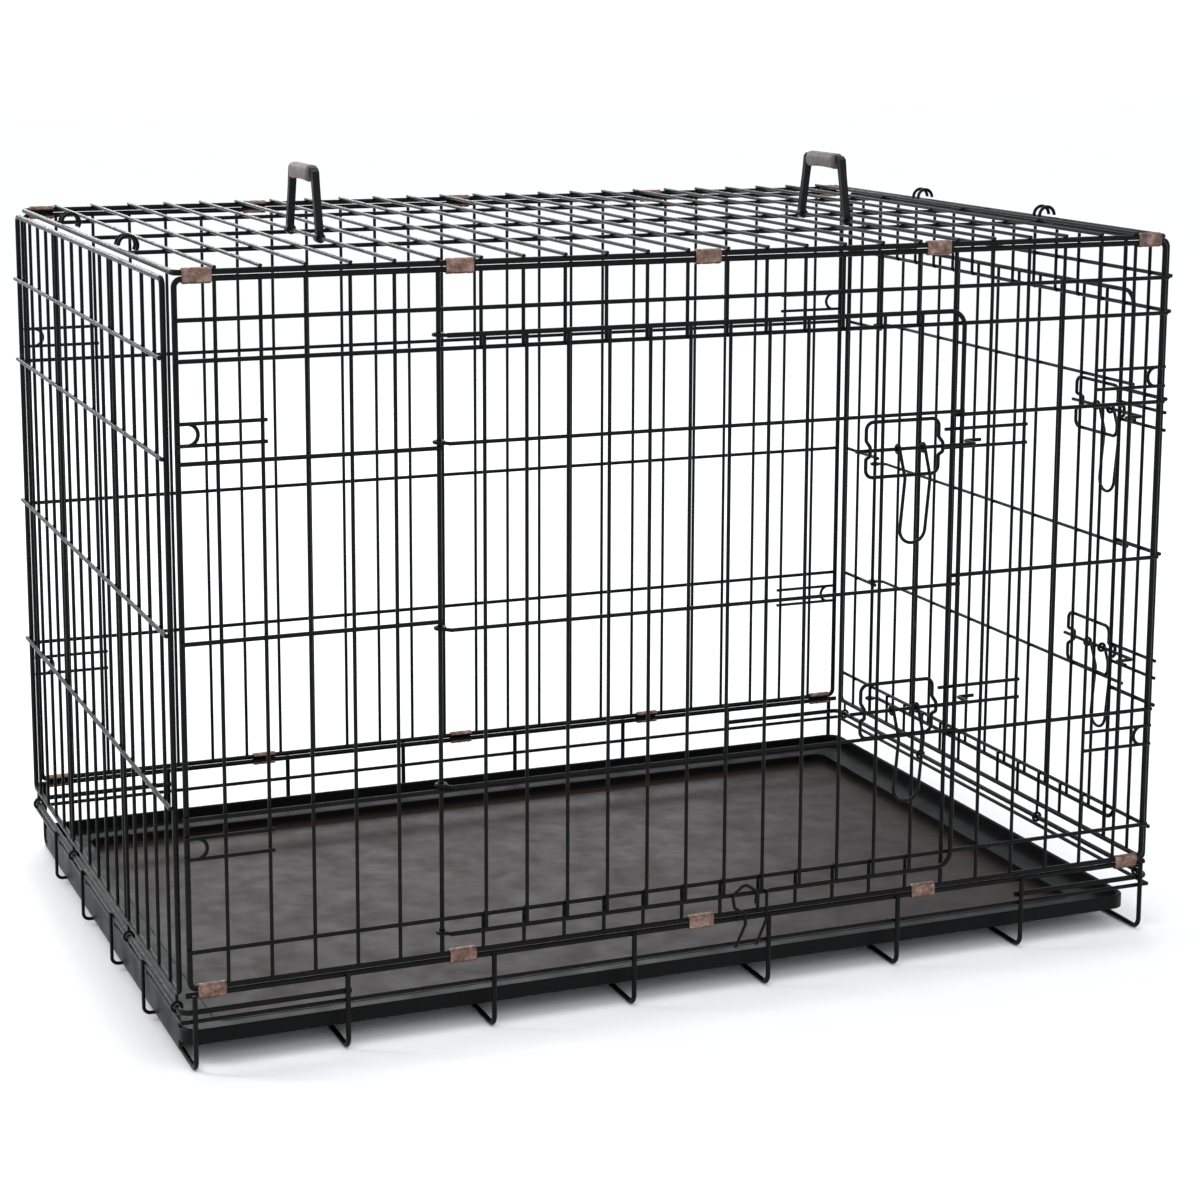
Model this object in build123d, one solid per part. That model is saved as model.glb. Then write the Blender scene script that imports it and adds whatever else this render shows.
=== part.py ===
from build123d import *
from math import cos, radians, sin
import os

os.makedirs("parts", exist_ok=True)

# Folding wire dog crate. Millimetres. X is the length, Y the depth (front is -Y), Z up, floor at 0.

# overall layout
HALF_LENGTH = 457.0
HALF_DEPTH = 315.0
END_X = 464.5
END_HALF = 307.5
Z_HINGE_LOW = 71.0
Z_HINGE_TOP = 651.8
Z_END_HINGE = 51.0
Z_END_LOW = 65.5
Z_END_TOP = 651.8
CLIP_PITCH = 5.2

# the latches stand out further than the plain sides, so the middle is a little off
ORIGIN_SHIFT = (-9.73, 9.33, 0)

# wire diameters
D_FRAME = 4.8
D_LONG = 3.7
D_UP = 3.2
D_LEG = 4.4
D_RUN = 3.2
D_DOOR = 4.2
D_LATCH = 3.3
D_PULL = 3.0
D_HOOK = 2.8
WELD = 0.2

# panel layers, measured outwards from the frame wire
W_UP = 0.7
W_LONG = 3.95
W_SLOT = 3.7
W_DOOR = 8.5
W_DOOR_LONG = 11.6
W_BOLT = 15.3
W_ARCH = 19.1
W_CRANK = -2.8

# wire grid of the long panels
LONG_EDGE_GAP = 32.0
LONG_WIRES = 25
LONG_PITCH = (2 * HALF_LENGTH - 2 * LONG_EDGE_GAP) / (LONG_WIRES - 2)
# wire grid of the end panels
END_EDGE_GAP = 28.0
END_WIRES = 16
END_PITCH = (2 * END_HALF - 2 * END_EDGE_GAP) / (END_WIRES - 2)

END_DOUBLES = (5, 11)

LONG_LEVELS = [215.5, 360.5, 506.0]
FRONT_FULL_LEVELS = [103.5, 587.5, 620.0]
RIGHT_FULL_LEVELS = [97.0, 587.5, 620.0]
END_LEVELS = [223.5, 366.5, 509.5, 590.0]
SLOT_LEVELS = [[520.5, 538.0], [182.0, 199.5]]

# doors
FRONT_DOOR_LOW = 91.0
RIGHT_DOOR_LOW = 84.5
DOOR_TOP = 599.0
DOOR_LEVELS = [220.0, 354.5, 510.5]
DOOR_LAP = 5.2
BOLT_LEVELS = [245.5, 481.0]
D_JAMB = 3.8
LOOP_GAP = 0.4

# base and tray
LEG_COUNT = 8
LEG_END = 454.5
LEG_OUT = 319.4
RAIL_Z = Z_HINGE_LOW - CLIP_PITCH
MID_RAIL_Z = 43.2
RUNNER_Y = [-190.0, -63.0, 63.0, 190.0]
RUNNER_X = -END_X - (D_FRAME + D_RUN) / 2 + WELD
TRAY_LEFT = -460.0
TRAY_RIGHT = 455.0
TRAY_Y = 300.0
TRAY_Z = 7.45
TRAY_TOP = 27.5
TRAY_END_TOP = 38.0
TRAY_LEDGE = 36.0
TRAY_STEP = 17.0
TRAY_WALL = 2.6

# clips and handles
CLIP_X = [-439.2, -6 * LONG_PITCH, 0.0, 6 * LONG_PITCH, 439.2]
CLIP_LENGTH = 24.0
CLIP_SHEET = 1.2
CLIP_GAP = 0.35
HANDLE_Y = -60.0
HANDLE_FEET = 46.0
HANDLE_HEIGHT = 60.0
STRAP_WIDTH = 6.4
GRIP_WIDTH = 13.0
GRIP_DEPTH = 15.0


def long_at(n):
    """X of vertical wire n of a long panel."""
    if n == 0:
        return -HALF_LENGTH
    if n == LONG_WIRES:
        return HALF_LENGTH
    return -HALF_LENGTH + LONG_EDGE_GAP + (n - 1) * LONG_PITCH


def end_at(n):
    """Y of vertical wire n of an end panel."""
    if n == 0:
        return -END_HALF
    if n == END_WIRES:
        return END_HALF
    return -END_HALF + END_EDGE_GAP + (n - 1) * END_PITCH


# each panel is drawn in (along, outward, up) and placed by one of these
def front(a, w, z):
    return Vector(a, -(HALF_DEPTH + w), z)


def back(a, w, z):
    return Vector(a, HALF_DEPTH + w, z)


def left(a, w, z):
    return Vector(-(END_X + w), a, z)


def right(a, w, z):
    return Vector(END_X + w, a, z)


def rod(p, q, d):
    """A straight round wire from p to q."""
    p, q = Vector(*p), Vector(*q)
    return Solid.make_cylinder(d / 2, (q - p).length, Plane(origin=p, z_dir=(q - p)))


def disc(p, direction, d):
    return Face(Wire(Edge.make_circle(d / 2, Plane(origin=p, z_dir=direction))))


def bow(center, start, end, d, angle=90):
    """A wire bent through an angle about a centre, from start towards end."""
    center, start, end = Vector(*center), Vector(*start), Vector(*end)
    normal = (start - center).cross(end - center)
    tangent = normal.cross(start - center)
    return Solid.revolve(disc(start, tangent, d), angle, Axis(center, normal))


def ring(center, axis, radius, d):
    """A closed ring of wire."""
    return Solid.make_torus(radius, d / 2, Plane(origin=center, z_dir=axis))


def bent(points, d, radii):
    """One wire through a list of points, with a radius for each bend or one for all."""
    points = [Vector(*p) for p in points]
    if not isinstance(radii, list):
        radii = [radii] * (len(points) - 2)
    edges = []
    here = points[0]
    for i in range(1, len(points) - 1):
        corner = points[i]
        before = (points[i - 1] - corner).normalized()
        after = (points[i + 1] - corner).normalized()
        turn = radians(before.get_angle(after))
        radius = radii[i - 1]
        cut = radius / abs(sin(turn / 2) / cos(turn / 2))
        first = corner + before * cut
        last = corner + after * cut
        middle = (before + after).normalized()
        reach = radius / sin(turn / 2) - radius
        edges.append(Edge.make_line(here, first))
        edges.append(Edge.make_three_point_arc(first, corner + middle * reach, last))
        here = last
    edges.append(Edge.make_line(here, points[-1]))
    path = Wire(edges)
    return sweep(disc(points[0], points[1] - points[0], d), path=path).solid()


def loop_frame(place, a0, a1, z0, z1, w, d, r):
    """A rectangular wire frame with rounded corners, as straight and bent pieces."""
    pieces = [
        rod(place(a0 + r, w, z0), place(a1 - r, w, z0), d),
        rod(place(a0 + r, w, z1), place(a1 - r, w, z1), d),
        rod(place(a0, w, z0 + r), place(a0, w, z1 - r), d),
        rod(place(a1, w, z0 + r), place(a1, w, z1 - r), d),
    ]
    for a, ia in ((a0, 1), (a1, -1)):
        for z, iz in ((z0, 1), (z1, -1)):
            center = place(a + ia * r, w, z + iz * r)
            pieces.append(bow(center, place(a, w, z + iz * r), place(a + ia * r, w, z), d))
    return pieces


def save(pieces, name):
    """Write one node, moved so that the origin is under the middle of the whole crate."""
    shape = Compound(children=pieces) if len(pieces) > 1 else pieces[0]
    export_step(shape.moved(Location(ORIGIN_SHIFT)), f"parts/{name}.step")


def slot_wires(place):
    """Short paired wires at the panel's ends, with the small loop each pair carries."""
    pieces = []
    for low, high in SLOT_LEVELS:
        for s in (-1, 1):
            edge = s * (HALF_LENGTH + 2.6)
            inner = s * (abs(long_at(2)) - 3)
            mid = (low + high) / 2
            half = (high - low) / 2
            pieces.append(rod(place(edge, W_SLOT, low), place(inner, W_SLOT, low), D_UP))
            pieces.append(rod(place(edge, W_SLOT, high), place(inner, W_SLOT, high), D_UP))
            turn = s * (HALF_LENGTH - 7)
            tip = s * (HALF_LENGTH - 7 - half)
            low_end = place(turn, W_SLOT, low)
            pieces.append(bow(place(turn, W_SLOT, mid), low_end, place(tip, W_SLOT, mid), D_UP, 180))
    return pieces


def long_panel(place, name, levels, full_levels, opening):
    """Frame, verticals and horizontals of a long side panel."""
    frame = loop_frame(place, -HALF_LENGTH, HALF_LENGTH, Z_HINGE_LOW, Z_HINGE_TOP, 0, D_FRAME, 6)
    save(frame, name + "_frame")
    uprights = []
    for n in range(1, LONG_WIRES):
        x = long_at(n)
        if opening and opening[0] < n < opening[1]:
            low_jamb, top_jamb = full_levels[0], full_levels[1]
            uprights.append(rod(place(x, W_UP, Z_HINGE_LOW), place(x, W_UP, low_jamb + 1), D_UP))
            uprights.append(rod(place(x, W_UP, top_jamb - 1), place(x, W_UP, Z_HINGE_TOP), D_UP))
        else:
            d = D_JAMB if opening and n in opening else D_UP
            uprights.append(rod(place(x, W_UP, Z_HINGE_LOW), place(x, W_UP, Z_HINGE_TOP), d))
    save(uprights, name + "_uprights")
    lines = []
    reach = HALF_LENGTH + 2.6
    for z in levels:
        if opening:
            inner = long_at(opening[0]) + 1
            outer = long_at(opening[1]) - 1
            lines.append(rod(place(-reach, W_LONG, z), place(inner, W_LONG, z), D_LONG))
            lines.append(rod(place(outer, W_LONG, z), place(reach, W_LONG, z), D_LONG))
        else:
            lines.append(rod(place(-reach, W_LONG, z), place(reach, W_LONG, z), D_LONG))
    for z in full_levels:
        lines.append(rod(place(-reach, W_LONG, z), place(reach, W_LONG, z), D_LONG))
    save(lines, name + "_long_wires")
    save(slot_wires(place), name + "_lock_slots")


def end_panel(place, name, levels, full_levels, opening):
    """Frame, verticals, horizontals and hinge loops of an end panel."""
    frame = loop_frame(place, -END_HALF, END_HALF, Z_END_LOW, Z_END_TOP, 0, D_FRAME, 6)
    save(frame, name + "_frame")
    uprights = []
    for n in range(1, END_WIRES):
        y = end_at(n)
        if opening and opening[0] < n < opening[1]:
            low_jamb, top_jamb = full_levels[0], full_levels[1]
            uprights.append(rod(place(y, W_UP, Z_END_LOW), place(y, W_UP, low_jamb + 1), D_UP))
            uprights.append(rod(place(y, W_UP, top_jamb - 1), place(y, W_UP, Z_END_TOP), D_UP))
        elif not opening and n in END_DOUBLES:
            for s in (-5, 5):
                uprights.append(rod(place(y + s, W_UP, Z_END_LOW), place(y + s, W_UP, Z_END_TOP), D_UP))
        else:
            d = D_JAMB if opening and n in opening else D_UP
            uprights.append(rod(place(y, W_UP, Z_END_LOW), place(y, W_UP, Z_END_TOP), d))
    save(uprights, name + "_uprights")
    lines = []
    for z in levels:
        if opening:
            inner = end_at(opening[0]) + 1
            outer = end_at(opening[1]) - 1
            lines.append(rod(place(-END_HALF - 2, W_LONG, z), place(inner, W_LONG, z), D_LONG))
            lines.append(rod(place(outer, W_LONG, z), place(END_HALF + 2, W_LONG, z), D_LONG))
        else:
            lines.append(rod(place(-END_HALF - 2, W_LONG, z), place(END_HALF + 2, W_LONG, z), D_LONG))
    for z in full_levels:
        lines.append(rod(place(-END_HALF - 2, W_LONG, z), place(END_HALF + 2, W_LONG, z), D_LONG))
    save(lines, name + "_cross_wires")
    loops = []
    d = 2.8
    radius = D_FRAME / 2 + CLIP_GAP + d / 2
    for y in (-298.0, end_at(5), end_at(11), 298.0):
        loops.append(ring(place(y, 0, Z_END_HINGE), (0, 1, 0), radius, d))
        loops.append(rod(place(y, 0, Z_END_HINGE + radius), place(y, 0, Z_END_LOW), d))
    save(loops, name + "_hinge_loops")


def latch_parts(place, edge, step, level):
    """Guide frame, bolt and pull loop of one slide latch, at the door's free edge."""
    near = edge - step * 25
    far = edge - step * 97
    top = level + 24.5
    low = level - 24.5
    mid = (near + far) / 2
    flat = W_DOOR_LONG
    guide = [place(mid, flat, top), place(near, flat, top)]
    guide += [place(near, flat, level + 8), place(near, W_ARCH, level + 4)]
    guide += [place(near, W_ARCH, level - 4), place(near, flat, level - 8)]
    guide += [place(near, flat, low), place(far, flat, low)]
    guide += [place(far, flat, level - 8), place(far, W_ARCH, level - 4)]
    guide += [place(far, W_ARCH, level + 4), place(far, flat, level + 8)]
    guide += [place(far, flat, top), place(mid, flat, top)]
    arch = [2.2, 2.2, 2.2, 2.2]
    radii = [7.0] + arch + [7.0, 7.0] + arch + [7.0]
    bolt = [place(far - step * 12, W_BOLT, level), place(edge + step * 10, W_BOLT, level)]
    bolt += [place(edge + step * 10, W_CRANK, level), place(edge + step * 26, W_CRANK, level)]
    pull = []
    eye = D_LATCH / 2 + CLIP_GAP + D_PULL / 2
    hang = W_BOLT + eye
    legs = [edge - step * 67.5, edge - step * 42.5]
    along = place(1, 0, 0) - place(0, 0, 0)
    for a in legs:
        pull.append(ring(place(a, W_BOLT, level), along, eye, D_PULL))
    loop = [place(legs[0], hang, level), place(legs[0] + step * 3, hang + 5, level - 25)]
    loop += [place(a - step, hang + 3, level - 83) for a in legs]
    loop += [place(legs[1] + step * 3, hang + 5, level - 25), place(legs[1], hang, level)]
    pull.append(bent(loop, D_PULL, [9.0, 12.2, 12.2, 9.0]))
    return bent(guide, D_LATCH, radii), bent(bolt, D_LATCH, 2.5), pull


def door(place, name, hinge, edge, columns, low):
    """A swinging door: three-sided frame, welded grid, and eyes on the hinge jamb."""
    step = 1 if edge > hinge else -1
    inner = hinge + step * DOOR_LAP
    r = 14.0
    frame = []
    for z, iz in ((low, 1), (DOOR_TOP, -1)):
        turn = place(edge - step * r, W_DOOR, z)
        frame.append(rod(place(inner, W_DOOR, z), turn, D_DOOR))
        center = place(edge - step * r, W_DOOR, z + iz * r)
        frame.append(bow(center, place(edge, W_DOOR, z + iz * r), turn, D_DOOR))
    frame.append(rod(place(edge, W_DOOR, low + r), place(edge, W_DOOR, DOOR_TOP - r), D_DOOR))
    save(frame, name + "_frame")
    grid = [rod(place(a, W_DOOR, low), place(a, W_DOOR, DOOR_TOP), D_UP) for a in columns]
    for z in DOOR_LEVELS:
        grid.append(rod(place(inner, W_DOOR_LONG, z), place(edge, W_DOOR_LONG, z), D_LATCH))
    save(grid, name + "_grid")
    loops = []
    radius = D_JAMB / 2 + LOOP_GAP + D_UP / 2
    for z in [low, *DOOR_LEVELS, DOOR_TOP]:
        reach = W_DOOR_LONG if z in DOOR_LEVELS else W_DOOR
        loops.append(ring(place(hinge, W_UP, z), (0, 0, 1), radius, D_UP))
        loops.append(rod(place(hinge, W_UP + radius, z), place(inner + step, reach - 0.3, z), D_UP))
    save(loops, name + "_hinge_loops")


# base
rails = []
for s in (-1, 1):
    rail_end = HALF_LENGTH + 4
    rails.append(rod((-rail_end, s * HALF_DEPTH, RAIL_Z), (rail_end, s * HALF_DEPTH, RAIL_Z), D_FRAME))
    y = s * (LEG_OUT - (D_LEG + D_LONG) / 2 + WELD)
    rails.append(rod((-END_X - 1, y, MID_RAIL_Z), (END_X + 1, y, MID_RAIL_Z), D_LONG))
save(rails, "base_side_rails")

legs = []
bend = 9.0
for k in range(LEG_COUNT):
    x = -LEG_END + k * 2 * LEG_END / (LEG_COUNT - 1)
    foot = D_LEG / 2
    legs.append(rod((x, -LEG_OUT + bend, foot), (x, LEG_OUT - bend, foot), D_LEG))
    for s in (-1, 1):
        legs.append(rod((x, s * LEG_OUT, foot + bend), (x, s * LEG_OUT, RAIL_Z + 1), D_LEG))
        center = (x, s * (LEG_OUT - bend), foot + bend)
        legs.append(bow(center, (x, s * LEG_OUT, foot + bend), (x, s * (LEG_OUT - bend), foot), D_LEG))
save(legs, "base_cross_legs")

end_wires = []
side_y = LEG_OUT - (D_LEG + D_FRAME) / 2 + WELD
leg_2 = LEG_END * (1 - 2 / (LEG_COUNT - 1))
for s in (-1, 1):
    x = s * END_X
    end_wires.append(rod((x, -side_y + 8, Z_END_HINGE), (x, side_y - 8, Z_END_HINGE), D_FRAME))
    end_wires.append(rod((x, -side_y, MID_RAIL_Z), (x, side_y, MID_RAIL_Z), D_LONG))
    for t in (-1, 1):
        y = t * side_y
        end_wires.append(rod((x - s * 8, y, Z_END_HINGE), (s * (leg_2 - 4), y, Z_END_HINGE), D_FRAME))
        center = (x - s * 8, y - t * 8, Z_END_HINGE)
        end_wires.append(bow(center, (x, y - t * 8, Z_END_HINGE), (x - s * 8, y, Z_END_HINGE), D_FRAME))
save(end_wires, "base_end_wires")

runners = []
run_z = D_LEG + D_RUN / 2 - WELD
top_z = Z_END_HINGE + D_FRAME / 2 + 1
turn = 6.0
for y in RUNNER_Y:
    runners.append(rod((RUNNER_X, y, top_z), (RUNNER_X, y, run_z + turn), D_RUN))
    center = (RUNNER_X + turn, y, run_z + turn)
    runners.append(bow(center, (RUNNER_X, y, run_z + turn), (RUNNER_X + turn, y, run_z), D_RUN))
    runners.append(rod((RUNNER_X + turn, y, run_z), (LEG_END, y, run_z), D_RUN))
save(runners, "base_tray_runners")


# clips: sheet straps round two parallel wires, snug on the lower one or the upper one
def strap(x, y, snug_z, free_z):
    snug = D_FRAME / 2
    free = D_FRAME / 2 + CLIP_GAP
    lift = abs(free_z - snug_z)
    s = 1 if free_z > snug_z else -1
    plane = Plane(origin=(x - CLIP_LENGTH / 2, y, snug_z), x_dir=(0, 1, 0), z_dir=(1, 0, 0))
    rim = Edge.make_circle(free + CLIP_SHEET)
    outer = make_hull([rim, rim.moved(Location((0, s * lift)))])
    inner = make_hull([Edge.make_circle(snug)] + [Edge.make_circle(free).moved(Location((0, s * lift)))])
    band = outer.face() - inner.face()
    return extrude(plane * band, CLIP_LENGTH).solid()


for s, side in ((-1, "front"), (1, "back")):
    low = [strap(x, s * HALF_DEPTH, RAIL_Z, Z_HINGE_LOW) for x in CLIP_X]
    save(low, "clips_bottom_" + side)
    top = [strap(x, s * HALF_DEPTH, Z_HINGE_TOP + CLIP_PITCH, Z_HINGE_TOP) for x in CLIP_X]
    save(top, "clips_top_" + side)

# tray: one moulded pan with a ledge below its rim, and a taller wall at the end that is pulled
def slab(inset, low, high, corner):
    """A rounded block with its sides set in from the tray's outline."""
    x0 = TRAY_LEFT + inset
    x1 = TRAY_RIGHT - inset
    outline = RectangleRounded(x1 - x0, 2 * TRAY_Y - 2 * inset, corner)
    return Pos((x0 + x1) / 2, 0, low) * extrude(outline, high - low)


floor_top = TRAY_Z + 2.5
pan = slab(TRAY_LEDGE, TRAY_Z, TRAY_STEP, 12) + slab(0, TRAY_STEP - 1, TRAY_TOP, 16)
pan = pan - slab(TRAY_LEDGE + TRAY_WALL, floor_top, TRAY_TOP + 20, 10)
pan = pan - slab(TRAY_WALL + 1.4, TRAY_STEP + 1.6, TRAY_TOP + 20, 13)
end_wall = Pos(TRAY_LEFT + TRAY_WALL / 2, 0, (TRAY_Z + TRAY_END_TOP) / 2)
end_wall = end_wall * Box(TRAY_WALL, 2 * TRAY_Y - 36, TRAY_END_TOP - TRAY_Z)
tray = (pan + end_wall).solid()
save([tray], "tray")

# long panels
FRONT_OPENING = (6, 19)
long_panel(front, "front_panel", LONG_LEVELS, FRONT_FULL_LEVELS, FRONT_OPENING)
long_panel(back, "back_panel", LONG_LEVELS, [], None)

# end panels
RIGHT_OPENING = (2, 14)
end_panel(left, "left_end", END_LEVELS, [], None)
end_panel(right, "right_end", LONG_LEVELS, RIGHT_FULL_LEVELS, RIGHT_OPENING)

# front door, hinged on its left jamb wire, and its latches
hinge = long_at(FRONT_OPENING[0])
jamb = long_at(FRONT_OPENING[1])
edge = jamb + DOOR_LAP
door(front, "front_door", hinge, edge, [long_at(n) for n in range(7, 19)], FRONT_DOOR_LOW)
guides = []
receivers = []
for level, place_name in zip(BOLT_LEVELS, ("lower", "upper")):
    guide, bolt, pull = latch_parts(front, edge, 1, level)
    guides.append(guide)
    save([bolt], "front_bolt_" + place_name)
    save(pull, "front_pull_" + place_name)
    for z in (level - 4.0, level + 12.5):
        receivers.append(rod(front(jamb - 9, W_SLOT, z), front(long_at(21) + 1, W_SLOT, z), D_UP))
save(guides, "front_door_latch_guides")
save(receivers, "front_panel_bolt_keepers")

# two wire hooks at the door's bottom: one with an open ring, one straight
hook_w = W_DOOR + (D_DOOR + D_HOOK) / 2 - WELD
eyelet = [(28.6, 43.5), (38.5, 64), (37.5, 74), (27.5, 80), (25.5, 92), (37.5, 101), (49, 93), (48, 82)]
tail = [(49, 43.5), (58.8, 66), (58.8, 94)]
hooks = [bent([front(x, hook_w, z) for x, z in eyelet], D_HOOK, [5, 4, 4, 5, 6, 4])]
hooks.append(bent([front(x, hook_w, z) for x, z in tail], D_HOOK, 5.0))
save(hooks, "front_door_hook")

# right end door, hinged on its rear jamb wire, and its latches
hinge = end_at(RIGHT_OPENING[1])
jamb = end_at(RIGHT_OPENING[0])
edge = jamb - DOOR_LAP
door(right, "right_door", hinge, edge, [end_at(n) for n in range(3, 14)], RIGHT_DOOR_LOW)
guides = []
receivers = []
for level, place_name in zip(BOLT_LEVELS, ("lower", "upper")):
    guide, bolt, pull = latch_parts(right, edge, -1, level)
    guides.append(guide)
    save([bolt], "right_bolt_" + place_name)
    save(pull, "right_pull_" + place_name)
    for z in (level - 4.0, level + 12.5):
        receivers.append(rod(right(jamb + 9, W_SLOT, z), right(-END_HALF - 2, W_SLOT, z), D_UP))
save(guides, "right_door_latch_guides")
save(receivers, "right_end_bolt_keepers")

# top panel
top_z = Z_HINGE_TOP + CLIP_PITCH
cross_z = top_z + W_SLOT
corner = 6.0
frame = []
for s in (-1, 1):
    y = s * HALF_DEPTH
    frame.append(rod((-HALF_LENGTH + corner, y, top_z), (HALF_LENGTH - corner, y, top_z), D_FRAME))
    x = s * HALF_LENGTH
    frame.append(rod((x, -HALF_DEPTH + corner, top_z), (x, HALF_DEPTH - corner, top_z), D_FRAME))
    for t in (-1, 1):
        center = (x - s * corner, t * (HALF_DEPTH - corner), top_z)
        start = (x, t * (HALF_DEPTH - corner), top_z)
        frame.append(bow(center, start, (x - s * corner, t * HALF_DEPTH, top_z), D_FRAME))
save(frame, "top_panel_frame")
cross = []
for n in range(1, LONG_WIRES):
    x = long_at(n)
    cross.append(rod((x, -HALF_DEPTH - 2.5, cross_z), (x, HALF_DEPTH + 2.5, cross_z), D_UP))
save(cross, "top_panel_cross_wires")
lines = []
line_z = cross_z - (D_UP + D_LONG) / 2 + WELD
for y in (-150.0, -6.0, 160.0):
    lines.append(rod((-HALF_LENGTH - 1, y, line_z), (HALF_LENGTH + 1, y, line_z), D_LONG))
save(lines, "top_panel_long_wires")
loops = []
curl = 8.2
for s in (-1, 1):
    tip = s * (HALF_LENGTH + 1.2)
    for n in END_DOUBLES:
        for side in (-5, 5):
            y = end_at(n) + side
            center = (tip - s * curl, y, cross_z + 0.6)
            crown = (tip - s * curl, y, cross_z + 0.6 + curl)
            loops.append(bow(center, (tip, y, cross_z + 0.6), crown, D_UP, 215))
save(loops, "top_panel_end_loops")

# carrying handles, each pivoting on one cross wire of the top
for n, name in ((5, "left"), (19, "right")):
    x = long_at(n)
    strap_parts = []
    side = Plane(origin=(x, 0, cross_z), x_dir=(0, 1, 0), z_dir=(1, 0, 0))
    f = HANDLE_FEET
    h = HANDLE_HEIGHT
    outline = Polyline(
        (-f - 3, 0), (-f - 3, 6), (-f + 5, 40), (-f + 8, h - 3), (-f + 13, h),
        (f - 13, h), (f - 8, h - 3), (f - 5, 40), (f + 3, 6), (f + 3, 0),
        (f - 3, 0), (f - 3, 6), (f - 10.5, 38), (f - 14, h - 8), (f - 17, h - 6),
        (-f + 17, h - 6), (-f + 14, h - 8), (-f + 10.5, 38), (-f + 3, 6), (-f + 3, 0), close=True,
    )
    body = extrude(side * Pos(HANDLE_Y, 0) * make_face(outline), STRAP_WIDTH / 2, both=True)
    for s in (-1, 1):
        y = HANDLE_Y + s * f
        boss = Plane(origin=(x, y, cross_z), z_dir=(0, 1, 0)) * Cylinder(4.6, 8)
        body = body + boss
    for s in (-1, 1):
        y = HANDLE_Y + s * f
        bore = Plane(origin=(x, y, cross_z), z_dir=(0, 1, 0)) * Cylinder(2.05, 12)
        body = body - bore
    save([body.solid()], "handle_" + name + "_strap")
    grip_face = RectangleRounded(GRIP_WIDTH, GRIP_DEPTH, 4.5)
    grip_z = cross_z + h + 2 - GRIP_DEPTH / 2
    grip_plane = Plane(origin=(x, HANDLE_Y - f + 18, grip_z), x_dir=(1, 0, 0), z_dir=(0, 1, 0))
    hollow = extrude(grip_plane * grip_face, 2 * f - 36) - body
    save(hollow.solids(), "handle_" + name + "_grip")
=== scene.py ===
import math

import bmesh
import bpy
from mathutils import Matrix, Vector


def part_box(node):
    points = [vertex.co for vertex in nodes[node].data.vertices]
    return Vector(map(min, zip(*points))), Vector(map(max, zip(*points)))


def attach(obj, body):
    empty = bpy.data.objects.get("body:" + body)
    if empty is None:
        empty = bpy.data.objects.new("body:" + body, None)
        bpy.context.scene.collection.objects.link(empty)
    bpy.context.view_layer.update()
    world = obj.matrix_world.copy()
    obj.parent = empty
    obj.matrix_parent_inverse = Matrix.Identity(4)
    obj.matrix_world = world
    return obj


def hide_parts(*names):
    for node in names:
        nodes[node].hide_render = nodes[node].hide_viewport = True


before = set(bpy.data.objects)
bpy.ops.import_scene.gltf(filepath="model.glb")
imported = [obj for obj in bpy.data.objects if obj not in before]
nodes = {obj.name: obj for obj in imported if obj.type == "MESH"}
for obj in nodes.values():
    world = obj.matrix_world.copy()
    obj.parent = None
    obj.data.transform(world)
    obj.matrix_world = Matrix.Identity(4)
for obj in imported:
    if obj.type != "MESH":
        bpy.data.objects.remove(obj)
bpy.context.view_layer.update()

MIN_WIRE_LENGTH = 0.02  # shorter boxes aren't wires or clips
MAX_WIRE = 0.0056  # thickest wire in the crate, with a margin
ROUND_TOLERANCE = 0.0003  # a straight wire's box is square across to within this
WELD_SLACK = 0.0004  # crossing wires count as welded up to this gap
REACH_SLACK = 0.001  # a crossing may lie this far past a wire's end
BEAD_SPREAD = 1.28  # a bead's size along each wire, in radii of the other one
BEAD_HALF_HEIGHT = 0.00085
CAP_SIDES = 10
TUBE_SIDES = 8
SHEET = 0.0009  # thickness of the clips' sheet metal
BEAD_DEPTH = 0.00035  # depth of the beads pressed into the clips
SEAM_ANGLE = 0.16  # half the clips' open seam, in radians
WAIST = 0.12  # the flat sides of a clip, as a share of its radius


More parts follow.
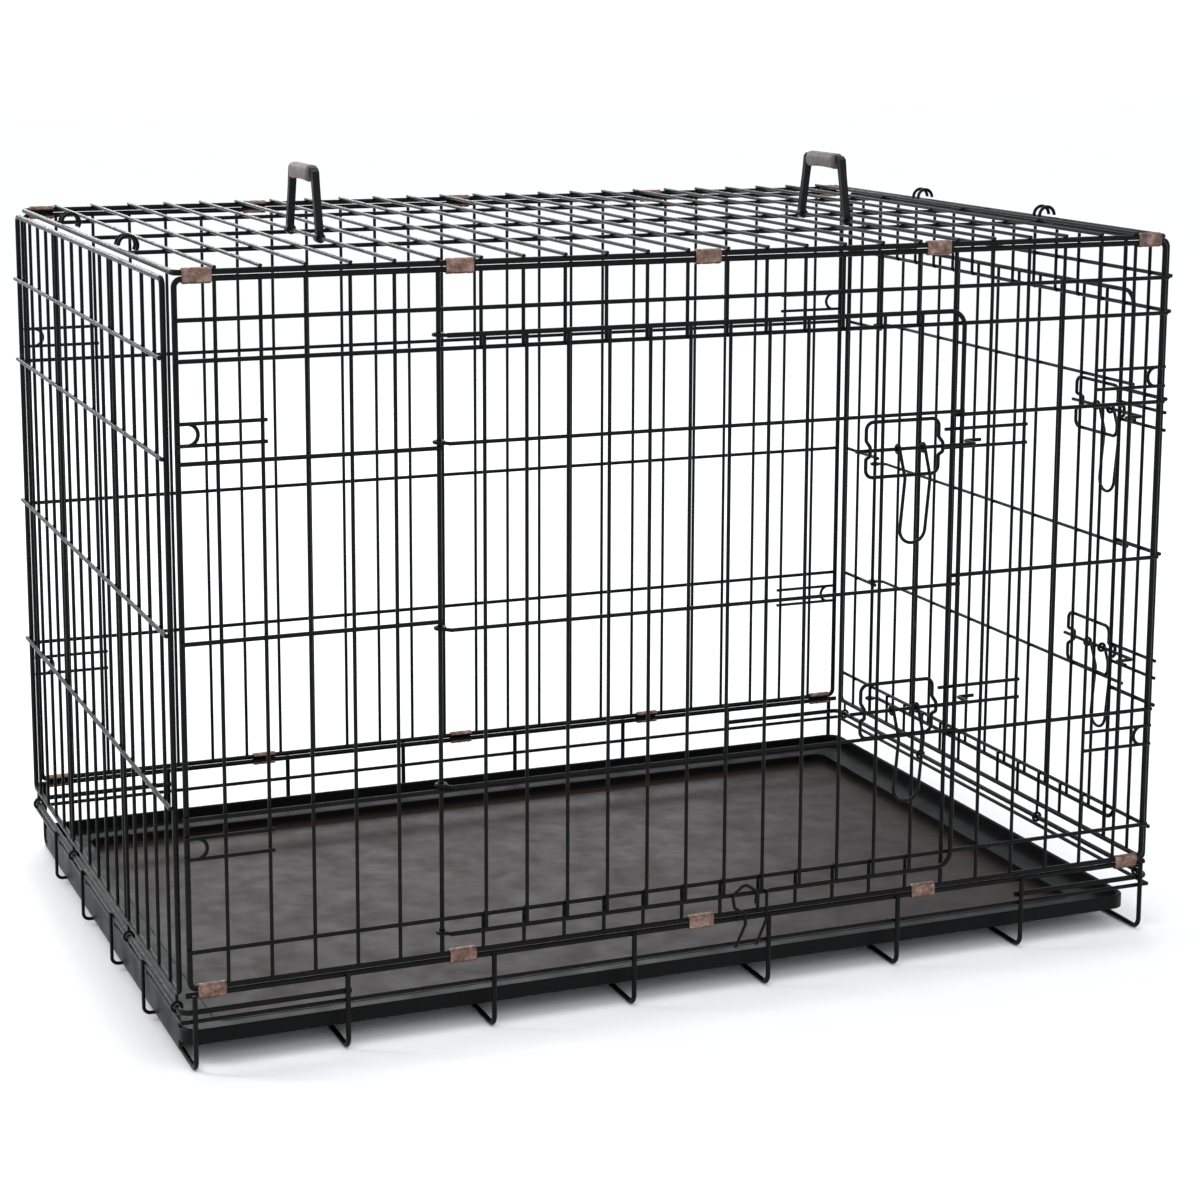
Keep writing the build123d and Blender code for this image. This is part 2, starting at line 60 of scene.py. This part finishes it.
# ---------------------------------------------------------------- materials
class Graph:
    """A small helper for building one node-based material."""

    def __init__(self, name):
        self.mat = bpy.data.materials.new(name)
        self.mat.use_nodes = True
        self.tree = self.mat.node_tree
        self.tree.nodes.clear()
        self.out = self.add("ShaderNodeOutputMaterial")
        self.bsdf = self.add("ShaderNodeBsdfPrincipled")
        self.link(self.bsdf.outputs[0], self.out.inputs["Surface"])
        self.coord = self.add("ShaderNodeTexCoord").outputs["Object"]

    def add(self, kind, **values):
        node = self.tree.nodes.new(kind)
        for key, value in values.items():
            setattr(node, key, value)
        return node

    def link(self, a, b):
        self.tree.links.new(a, b)

    def noise(self, scale, detail=3.0, rough=0.5, vector=None):
        node = self.add("ShaderNodeTexNoise")
        node.inputs["Scale"].default_value = scale
        node.inputs["Detail"].default_value = detail
        node.inputs["Roughness"].default_value = rough
        self.link(vector or self.coord, node.inputs["Vector"])
        return node.outputs["Fac"]

    def stretch(self, factors):
        node = self.add("ShaderNodeMapping")
        node.inputs["Scale"].default_value = factors
        self.link(self.coord, node.inputs["Vector"])
        return node.outputs[0]

    def ramp(self, fac, stops):
        node = self.add("ShaderNodeValToRGB")
        items = node.color_ramp.elements
        while len(items) < len(stops):
            items.new(0.5)
        for item, (place, value) in zip(items, stops):
            item.position = place
            colour = value if isinstance(value, tuple) else (value, value, value)
            item.color = (*colour, 1.0)
        self.link(fac, node.inputs["Fac"])
        return node.outputs["Color"]

    def mix(self, fac, a, b):
        node = self.add("ShaderNodeMix", data_type="RGBA")
        self.link(fac, node.inputs["Factor"])
        for socket, value in ((node.inputs[6], a), (node.inputs[7], b)):
            if isinstance(value, tuple):
                socket.default_value = (*value, 1.0)
            else:
                self.link(value, socket)
        return node.outputs[2]

    def sharp(self, fac, low, high):
        """Only the strongest part of a pattern, for scuffs and rubbed spots."""
        node = self.add("ShaderNodeMapRange")
        node.inputs["From Min"].default_value = low
        node.inputs["From Max"].default_value = high
        self.link(fac, node.inputs["Value"])
        return node.outputs[0]

    def axis(self, name):
        node = self.add("ShaderNodeSeparateXYZ")
        self.link(self.coord, node.inputs[0])
        return node.outputs[name]

    def bump(self, height, strength, distance):
        node = self.add("ShaderNodeBump")
        node.inputs["Strength"].default_value = strength
        node.inputs["Distance"].default_value = distance
        self.link(height, node.inputs["Height"])
        self.link(node.outputs[0], self.bsdf.inputs["Normal"])

    def set(self, **values):
        for key, value in values.items():
            self.bsdf.inputs[key.replace("_", " ")].default_value = value


def wire_material():
    g = Graph("wire_coat")
    mottle = g.noise(60.0, 4.0, 0.55)
    coat = g.ramp(mottle, [(0.3, (0.0022, 0.0021, 0.0022)), (0.7, (0.0048, 0.0045, 0.0045))])
    rubbed = g.sharp(g.noise(34.0, 6.0, 0.7), 0.66, 0.74)
    g.link(g.mix(rubbed, coat, (0.022, 0.019, 0.018)), g.bsdf.inputs["Base Color"])
    g.link(g.ramp(g.noise(220.0, 2.0), [(0.3, 0.24), (0.75, 0.42)]), g.bsdf.inputs["Roughness"])
    g.bump(g.noise(900.0, 2.0), 0.08, 0.0003)
    g.set(Specular_IOR_Level=0.1)
    return g.mat


def weld_material():
    g = Graph("weld_bead")
    stops = [(0.35, (0.0025, 0.0024, 0.0024)), (0.75, (0.010, 0.009, 0.0088))]
    tone = g.ramp(g.noise(400.0, 4.0, 0.6), stops)
    g.link(tone, g.bsdf.inputs["Base Color"])
    g.link(g.ramp(g.noise(700.0, 2.0), [(0.3, 0.3), (0.7, 0.5)]), g.bsdf.inputs["Roughness"])
    g.bump(g.noise(1600.0, 3.0), 0.4, 0.0003)
    g.set(Specular_IOR_Level=0.14)
    return g.mat


def clip_material():
    g = Graph("clip_plate")
    broad = g.noise(150.0, 4.0, 0.6)
    stops = [(0.25, (0.065, 0.033, 0.025)), (0.5, (0.18, 0.108, 0.088)), (0.8, (0.40, 0.29, 0.25))]
    tone = g.ramp(broad, stops)
    tarnish = g.sharp(g.noise(420.0, 4.0, 0.65), 0.6, 0.72)
    g.link(g.mix(tarnish, tone, (0.035, 0.02, 0.017)), g.bsdf.inputs["Base Color"])
    lines = g.noise(500.0, 3.0, 0.5, g.stretch((0.06, 1.0, 1.0)))
    g.link(g.ramp(lines, [(0.3, 0.3), (0.75, 0.52)]), g.bsdf.inputs["Roughness"])
    g.bump(lines, 0.3, 0.0002)
    g.set(Metallic=0.85)
    return g.mat


def tray_material():
    g = Graph("tray_plastic")
    height = g.axis("Z")
    level = g.sharp(height, TRAY_FLOOR + 0.0004, TRAY_FLOOR + 0.0035)
    scuff = g.noise(7.0, 5.0, 0.6)
    speck = g.noise(900.0, 2.0, 0.5)
    floor_a = g.ramp(scuff, [(0.3, (0.0150, 0.0098, 0.0086)), (0.72, (0.0182, 0.0121, 0.0107))])
    floor_tone = g.mix(g.sharp(speck, 0.55, 0.8), floor_a, (0.030, 0.0225, 0.0205))
    rim_tone = g.ramp(scuff, [(0.3, (0.0022, 0.0021, 0.0024)), (0.75, (0.0042, 0.004, 0.0046))])
    scratch = g.sharp(g.noise(26.0, 6.0, 0.75, g.stretch((0.25, 6.0, 1.0))), 0.66, 0.76)
    base = g.mix(level, floor_tone, rim_tone)
    g.link(g.mix(scratch, base, (0.026, 0.0185, 0.0165)), g.bsdf.inputs["Base Color"])
    g.link(g.ramp(g.noise(40.0, 4.0), [(0.3, 0.36), (0.75, 0.52)]), g.bsdf.inputs["Roughness"])
    cells = g.add("ShaderNodeTexVoronoi")
    cells.inputs["Scale"].default_value = 700.0
    g.link(g.coord, cells.inputs["Vector"])
    g.bump(cells.outputs["Distance"], 0.35, 0.0003)
    g.set(Specular_IOR_Level=0.1)
    return g.mat


def handle_material():
    g = Graph("handle_plastic")
    stops = [(0.3, (0.003, 0.0028, 0.0028)), (0.7, (0.007, 0.0066, 0.0064))]
    tone = g.ramp(g.noise(90.0, 3.0), stops)
    worn = g.sharp(g.noise(60.0, 6.0, 0.7), 0.62, 0.72)
    g.link(g.mix(worn, tone, (0.025, 0.023, 0.022)), g.bsdf.inputs["Base Color"])
    g.link(g.ramp(g.noise(300.0, 2.0), [(0.3, 0.32), (0.7, 0.5)]), g.bsdf.inputs["Roughness"])
    g.bump(g.noise(1500.0, 2.0), 0.3, 0.0003)
    g.set(Specular_IOR_Level=0.15)
    return g.mat


def grip_sheen_material():
    g = Graph("handle_grip")
    # painted sheen: the grip's whole base colour is a lighter brown-grey than the near-black handle
    # legs, standing in for the sheen on its flat top; the darker patches mixed in are smudges
    stops = [(0.3, (0.085, 0.066, 0.06)), (0.7, (0.15, 0.122, 0.114))]
    tone = g.ramp(g.noise(110.0, 4.0, 0.6), stops)
    smudge = g.sharp(g.noise(55.0, 5.0, 0.7), 0.56, 0.7)
    g.link(g.mix(smudge, tone, (0.045, 0.035, 0.032)), g.bsdf.inputs["Base Color"])
    g.link(g.ramp(g.noise(300.0, 2.0), [(0.3, 0.35), (0.7, 0.55)]), g.bsdf.inputs["Roughness"])
    g.bump(g.noise(1200.0, 2.0), 0.3, 0.0003)
    g.set(Specular_IOR_Level=0.3)
    return g.mat


def floor_material():
    g = Graph("studio_floor")
    g.link(g.ramp(g.noise(3.0, 2.0), [(0.3, 0.915), (0.7, 0.93)]), g.bsdf.inputs["Base Color"])
    g.set(Roughness=0.8, Specular_IOR_Level=0.05)
    return g.mat


TRAY_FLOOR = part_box("tray")[0][2] + 0.0025
wire = wire_material()
weld = weld_material()
clip = clip_material()
tray = tray_material()
handle = handle_material()
grip_painted_sheen = grip_sheen_material()
for name, o in nodes.items():
    if name.startswith("clips"):
        chosen = clip
    elif name == "tray":
        chosen = tray
    elif name.startswith("handle"):
        chosen = handle
    else:
        chosen = wire
    o.data.materials.clear()
    o.data.materials.append(chosen)


# ---------------------------------------------------------------- shapes read from the CAD wires
def islands(name):
    """The box of every separate solid in one CAD node, as (low, high) corners."""
    mesh = nodes[name].data
    parent = list(range(len(mesh.vertices)))

    def root(i):
        while parent[i] != i:
            parent[i] = parent[parent[i]]
            i = parent[i]
        return i

    for a, b in mesh.edge_keys:
        parent[root(a)] = root(b)
    boxes = {}
    joined = {}
    for v in mesh.vertices:
        key = tuple(round(c, 6) for c in v.co)
        r = root(v.index)
        if key in joined:
            parent[r] = root(joined[key])
        else:
            joined[key] = v.index
    for v in mesh.vertices:
        r = root(v.index)
        if r in boxes:
            low, high = boxes[r]
            for k in range(3):
                low[k] = min(low[k], v.co[k])
                high[k] = max(high[k], v.co[k])
        else:
            boxes[r] = (list(v.co), list(v.co))
    return list(boxes.values())


def straight(boxes):
    """The straight wires among some boxes: (axis, centre, half length, radius)."""
    found = []
    for low, high in boxes:
        size = [high[k] - low[k] for k in range(3)]
        axis = size.index(max(size))
        thin = [size[k] for k in range(3) if k != axis]
        is_round = max(thin) < MAX_WIRE and abs(thin[0] - thin[1]) < ROUND_TOLERANCE
        if size[axis] > MIN_WIRE_LENGTH and is_round:
            middle = Vector([(low[k] + high[k]) / 2 for k in range(3)])
            found.append((axis, middle, size[axis] / 2, sum(thin) / 4))
    return found


def new_piece(name, bm, material, body):
    mesh = bpy.data.meshes.new(name)
    bmesh.ops.recalc_face_normals(bm, faces=bm.faces)
    bm.to_mesh(mesh)
    bm.free()
    for f in mesh.polygons:
        f.use_smooth = True
    mesh.materials.append(material)
    o = bpy.data.objects.new(name, mesh)
    bpy.context.scene.collection.objects.link(o)
    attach(o, body)
    return o


def add_bead(bm, centre, radii, axis):
    """A squashed bead of weld and coating on a crossing; axis is its short direction."""
    rings = 5
    around = 8
    others = [k for k in range(3) if k != axis]
    poles = []
    rows = []
    for i in range(1, rings):
        t = math.pi * i / rings
        row = []
        for j in range(around):
            a = 2 * math.pi * j / around
            p = [0.0, 0.0, 0.0]
            p[axis] = radii[axis] * math.cos(t)
            p[others[0]] = radii[others[0]] * math.sin(t) * math.cos(a)
            p[others[1]] = radii[others[1]] * math.sin(t) * math.sin(a)
            row.append(bm.verts.new(centre + Vector(p)))
        rows.append(row)
    for s in (1, -1):
        p = [0.0, 0.0, 0.0]
        p[axis] = s * radii[axis]
        poles.append(bm.verts.new(centre + Vector(p)))
    for j in range(around):
        k = (j + 1) % around
        bm.faces.new((poles[0], rows[0][j], rows[0][k]))
        bm.faces.new((poles[1], rows[-1][k], rows[-1][j]))
        for i in range(len(rows) - 1):
            bm.faces.new((rows[i][j], rows[i + 1][j], rows[i + 1][k], rows[i][k]))


def weld_beads(name, groups, body):
    """One mesh with a bead on each crossing of straight wires among some nodes of one body.

    Wires of the first node are also matched with each other, wires of the others only across nodes.
    """
    wires = []
    for index, group in enumerate(groups):
        wires += [(index, *w) for w in straight(islands(group))]
    bm = bmesh.new()
    for i, (ga, ax, ca, la, ra) in enumerate(wires):
        for gb, bx, cb, lb, rb in wires[i + 1:]:
            if ax == bx or (ga == gb and ga != 0):
                continue
            third = 3 - ax - bx
            gap = abs(ca[third] - cb[third])
            if gap > ra + rb + WELD_SLACK or gap < 0.4 * (ra + rb):
                continue
            if abs(ca[ax] - cb[ax]) > la + REACH_SLACK or abs(ca[bx] - cb[bx]) > lb + REACH_SLACK:
                continue
            point = Vector((0.0, 0.0, 0.0))
            point[ax] = cb[ax]
            point[bx] = ca[bx]
            point[third] = (ca[third] * rb + cb[third] * ra) / (ra + rb)
            radii = [0.0, 0.0, 0.0]
            radii[ax] = rb * BEAD_SPREAD
            radii[bx] = ra * BEAD_SPREAD
            radii[third] = BEAD_HALF_HEIGHT
            add_bead(bm, point, radii, third)
    new_piece(name, bm, weld, body)


def add_cap(bm, centre, axis, sign, radius):
    """A low dome of coating over the cut end of a wire."""
    others = [k for k in range(3) if k != axis]
    rows = []
    for out, lift in ((0.985, -0.0008), (0.98, 0.0), (0.72, 0.0003)):
        row = []
        for j in range(CAP_SIDES):
            a = 2 * math.pi * j / CAP_SIDES
            p = [0.0, 0.0, 0.0]
            p[axis] = sign * lift
            p[others[0]] = radius * out * math.cos(a)
            p[others[1]] = radius * out * math.sin(a)
            row.append(bm.verts.new(centre + Vector(p)))
        rows.append(row)
    tip = [0.0, 0.0, 0.0]
    tip[axis] = sign * 0.0005
    tip = bm.verts.new(centre + Vector(tip))
    for j in range(CAP_SIDES):
        k = (j + 1) % CAP_SIDES
        for i in range(2):
            bm.faces.new((rows[i][j], rows[i + 1][j], rows[i + 1][k], rows[i][k]))
        bm.faces.new((rows[2][j], tip, rows[2][k]))
    bm.faces.new(rows[0])


def end_caps(name, groups, body):
    """One mesh with a cap on both ends of every straight wire in some nodes."""
    bm = bmesh.new()
    for group in groups:
        for axis, middle, half, radius in straight(islands(group)):
            for sign in (-1, 1):
                p = middle.copy()
                p[axis] += sign * half
                add_cap(bm, p, axis, sign, radius)
    new_piece(name, bm, weld, body)


for panel in ("front_panel", "back_panel"):
    beaded = [panel + "_uprights", panel + "_long_wires", panel + "_lock_slots"]
    weld_beads(panel + "_welds", beaded, panel)
    end_caps(panel + "_wire_ends", [panel + "_long_wires", panel + "_lock_slots"], panel)
for panel in ("left_end", "right_end"):
    weld_beads(panel + "_welds", [panel + "_uprights", panel + "_cross_wires"], panel)
    end_caps(panel + "_wire_ends", [panel + "_cross_wires"], panel)
beaded = ["top_panel_cross_wires", "top_panel_long_wires", "top_panel_frame"]
weld_beads("top_panel_welds", beaded, "top_panel")
end_caps("top_panel_wire_ends", ["top_panel_cross_wires", "top_panel_long_wires"], "top_panel")
for door in ("front_door", "right_door"):
    weld_beads(door + "_welds", [door + "_grid", door + "_frame"], door)
end_caps("base_wire_ends", ["base_side_rails", "base_tray_runners"], "base")


# ---------------------------------------------------------------- rolled sheet clips
def rolled_clip(bm, low, high, inward):
    """A strap rolled round two wires, with curled-in edges, two pressed beads and a seam inside."""
    radius = (high[1] - low[1]) / 2
    lift = (high[2] - low[2]) / 2 - radius
    cy = (low[1] + high[1]) / 2
    cz = (low[2] + high[2]) / 2
    half = (high[0] - low[0]) / 2
    cx = (low[0] + high[0]) / 2
    curled_edge = [(0.0, -SHEET), (0.0004, -0.0003), (0.0012, 0.0)]
    pressed_bead = [(0.0052, 0.0), (0.0060, -BEAD_DEPTH), (0.0068, -BEAD_DEPTH), (0.0076, 0.0)]
    profile = [(-half + x, d) for x, d in curled_edge + pressed_bead]
    profile += [(-x, d) for x, d in reversed(profile)]
    steps = 28
    seam = SEAM_ANGLE
    sides = []
    for depth in (0.0, SHEET):
        grid = []
        for along, dent in profile:
            row = []
            for j in range(steps + 1):
                a = seam + (2 * math.pi - 2 * seam) * j / steps
                a = a if inward > 0 else math.pi + a
                y = math.cos(a)
                z = math.sin(a)
                r = radius + dent - depth
                shift = lift if z > 0 else -lift
                if abs(z) < WAIST:
                    shift = lift * z / WAIST
                row.append(bm.verts.new((cx + along, cy + r * y, cz + shift + r * z)))
            grid.append(row)
        sides.append(grid)
    outer, inner = sides
    n = len(profile)
    for i in range(n - 1):
        for j in range(steps):
            bm.faces.new((outer[i][j], outer[i + 1][j], outer[i + 1][j + 1], outer[i][j + 1]))
            bm.faces.new((inner[i][j], inner[i][j + 1], inner[i + 1][j + 1], inner[i + 1][j]))
        for j in (0, steps):
            bm.faces.new((outer[i][j], outer[i + 1][j], inner[i + 1][j], inner[i][j]))
    for i in (0, n - 1):
        for j in range(steps):
            bm.faces.new((outer[i][j], outer[i][j + 1], inner[i][j + 1], inner[i][j]))


for side, inward in (("front", 1), ("back", -1)):
    for row_name, body in (("top", "top_panel"), ("bottom", "base")):
        node = "clips_" + row_name + "_" + side
        bm = bmesh.new()
        for low, high in islands(node):
            if high[0] - low[0] > MIN_WIRE_LENGTH:
                rolled_clip(bm, low, high, inward)
        piece = new_piece("rolled_" + node, bm, clip, body)
        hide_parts(node)


# ---------------------------------------------------------------- handle grips
def grip(name):
    """A moulded grip with an arched underside and shallow finger ribs along its top."""
    node = name + "_grip"
    low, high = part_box(node)
    cx = (low[0] + high[0]) / 2
    cy = (low[1] + high[1]) / 2
    wide = (high[0] - low[0]) / 2
    half = (high[1] - low[1]) / 2
    bm = bmesh.new()
    rows = []
    stations = 40
    around = 24
    for i in range(stations + 1):
        t = -1 + 2 * i / stations
        end = max(0.0, (abs(t) - 0.9) / 0.1)
        taper = math.sqrt(max(0.0, 1 - 0.55 * end * end))
        arch = 0.0012 * (1 - t * t)
        top = high[2] - 0.0004 * (1 - math.cos(t * 34)) / 2 - 0.0006 * end
        bottom = low[2] + arch + 0.001 * end
        row = []
        for j in range(around):
            a = 2 * math.pi * j / around
            c = math.copysign(abs(math.cos(a)) ** 0.6, math.cos(a))
            s = math.copysign(abs(math.sin(a)) ** 0.6, math.sin(a))
            z = (top + bottom) / 2 + s * (top - bottom) / 2 * taper
            crown = 0.94 if s > 0.6 else 1.0
            row.append(bm.verts.new((cx + wide * taper * c * crown, cy + half * t, z)))
        rows.append(row)
    for i in range(stations):
        for j in range(around):
            k = (j + 1) % around
            bm.faces.new((rows[i][j], rows[i + 1][j], rows[i + 1][k], rows[i][k]))
    bm.faces.new(rows[0])
    bm.faces.new(rows[-1])
    # the grip gets the material with the painted sheen in its base colour
    piece = new_piece(name + "_moulded_grip", bm, grip_painted_sheen, name)
    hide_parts(node)


for name in ("handle_left", "handle_right"):
    grip(name)


# ---------------------------------------------------------------- rolled lip of the tray
def tube_round(bm, path, radius):
    """A round bead along a closed path."""
    sides = TUBE_SIDES
    rows = []
    n = len(path)
    for i in range(n):
        ahead = (path[(i + 1) % n] - path[i - 1]).normalized()
        side = ahead.cross(Vector((0, 0, 1))).normalized()
        row = []
        for j in range(sides):
            a = 2 * math.pi * j / sides
            rise = Vector((0, 0, radius * math.sin(a)))
            row.append(bm.verts.new(path[i] + side * radius * math.cos(a) + rise))
        rows.append(row)
    for i in range(n):
        for j in range(sides):
            k = (j + 1) % sides
            m = (i + 1) % n
            bm.faces.new((rows[i][j], rows[m][j], rows[m][k], rows[i][k]))


def rounded_path(x0, x1, y0, y1, z, corner):
    """A level rectangle with rounded corners, as points anticlockwise from the +X +Y corner."""
    path = []
    for cx, cy, start in ((x1, y1, 0), (x0, y1, 90), (x0, y0, 180), (x1, y0, 270)):
        px = cx - corner if cx == x1 else cx + corner
        py = cy - corner if cy == y1 else cy + corner
        for k in range(7):
            a = math.radians(start + 15 * k)
            path.append(Vector((px + corner * math.cos(a), py + corner * math.sin(a), z)))
    return path


tray_low, tray_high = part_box("tray")
bm = bmesh.new()
inset = 0.0018
x0, x1 = tray_low[0] + inset + 0.0012, tray_high[0] - inset
y0, y1 = tray_low[1] + inset, tray_high[1] - inset
tube_round(bm, rounded_path(x0, x1, y0, y1, tray_low[2] + 0.0196, 0.0145), 0.0017)
ledge = 0.0375
x0, x1 = tray_low[0] + ledge, tray_high[0] - ledge
y0, y1 = tray_low[1] + ledge, tray_high[1] - ledge
tube_round(bm, rounded_path(x0, x1, y0, y1, tray_low[2] + 0.0104, 0.0115), 0.0012)
new_piece("tray_rolled_rims", bm, tray, "tray")


# ---------------------------------------------------------------- studio
mesh = bpy.data.meshes.new("studio_floor")
bm = bmesh.new()
for x, y in ((-14, -9), (14, -9), (14, 16), (-14, 16)):
    bm.verts.new((x, y, 0.0))
bm.faces.new(bm.verts)
bm.to_mesh(mesh)
bm.free()
floor = bpy.data.objects.new("studio_floor", mesh)
bpy.context.scene.collection.objects.link(floor)
mesh.materials.append(floor_material())

bpy.context.scene.view_settings.view_transform = "Standard"
world = bpy.data.worlds.new("studio")
bpy.context.scene.world = world
world.use_nodes = True
background = world.node_tree.nodes["Background"]
background.inputs["Color"].default_value = (0.945, 0.978, 1.0, 1.0)
background.inputs["Strength"].default_value = 1.14


def area_light(name, place, target, width, height, power):
    data = bpy.data.lights.new(name, "AREA")
    data.shape = "RECTANGLE"
    data.size = width
    data.size_y = height
    data.energy = power
    o = bpy.data.objects.new(name, data)
    bpy.context.scene.collection.objects.link(o)
    o.location = place
    o.visible_camera = False
    aim = Vector(target) - Vector(place)
    o.rotation_euler = aim.to_track_quat("-Z", "Y").to_euler()


area_light("top_box", (0.2, 0.5, 2.6), (0, 0, 0.2), 1.6, 1.2, 9)
area_light("left_strip", (-2.4, 0.9, 1.9), (0, 0, 0.4), 0.35, 1.8, 26)
area_light("back_strip", (0.3, 3.4, 1.5), (0, 0, 0.5), 3.0, 0.35, 26)

# ---------------------------------------------------------------- camera
camera_data = bpy.data.cameras.new("camera")
camera_data.sensor_width = 36.0
camera_data.lens = 79.737
camera_data.shift_y = -0.12
camera_data.clip_end = 60.0
camera = bpy.data.objects.new("camera", camera_data)
bpy.context.scene.collection.objects.link(camera)
right = Vector((0.92401, -0.38236, 0.00400)).normalized()
ahead = Vector((0.37725, 0.90987, -0.17269)).normalized()
up = right.cross(ahead)
turn = Matrix((right, up, -ahead)).transposed()
camera.matrix_world = Matrix.Translation((-0.94840, -2.33464, 0.87487)) @ turn.to_4x4()
bpy.context.scene.camera = camera
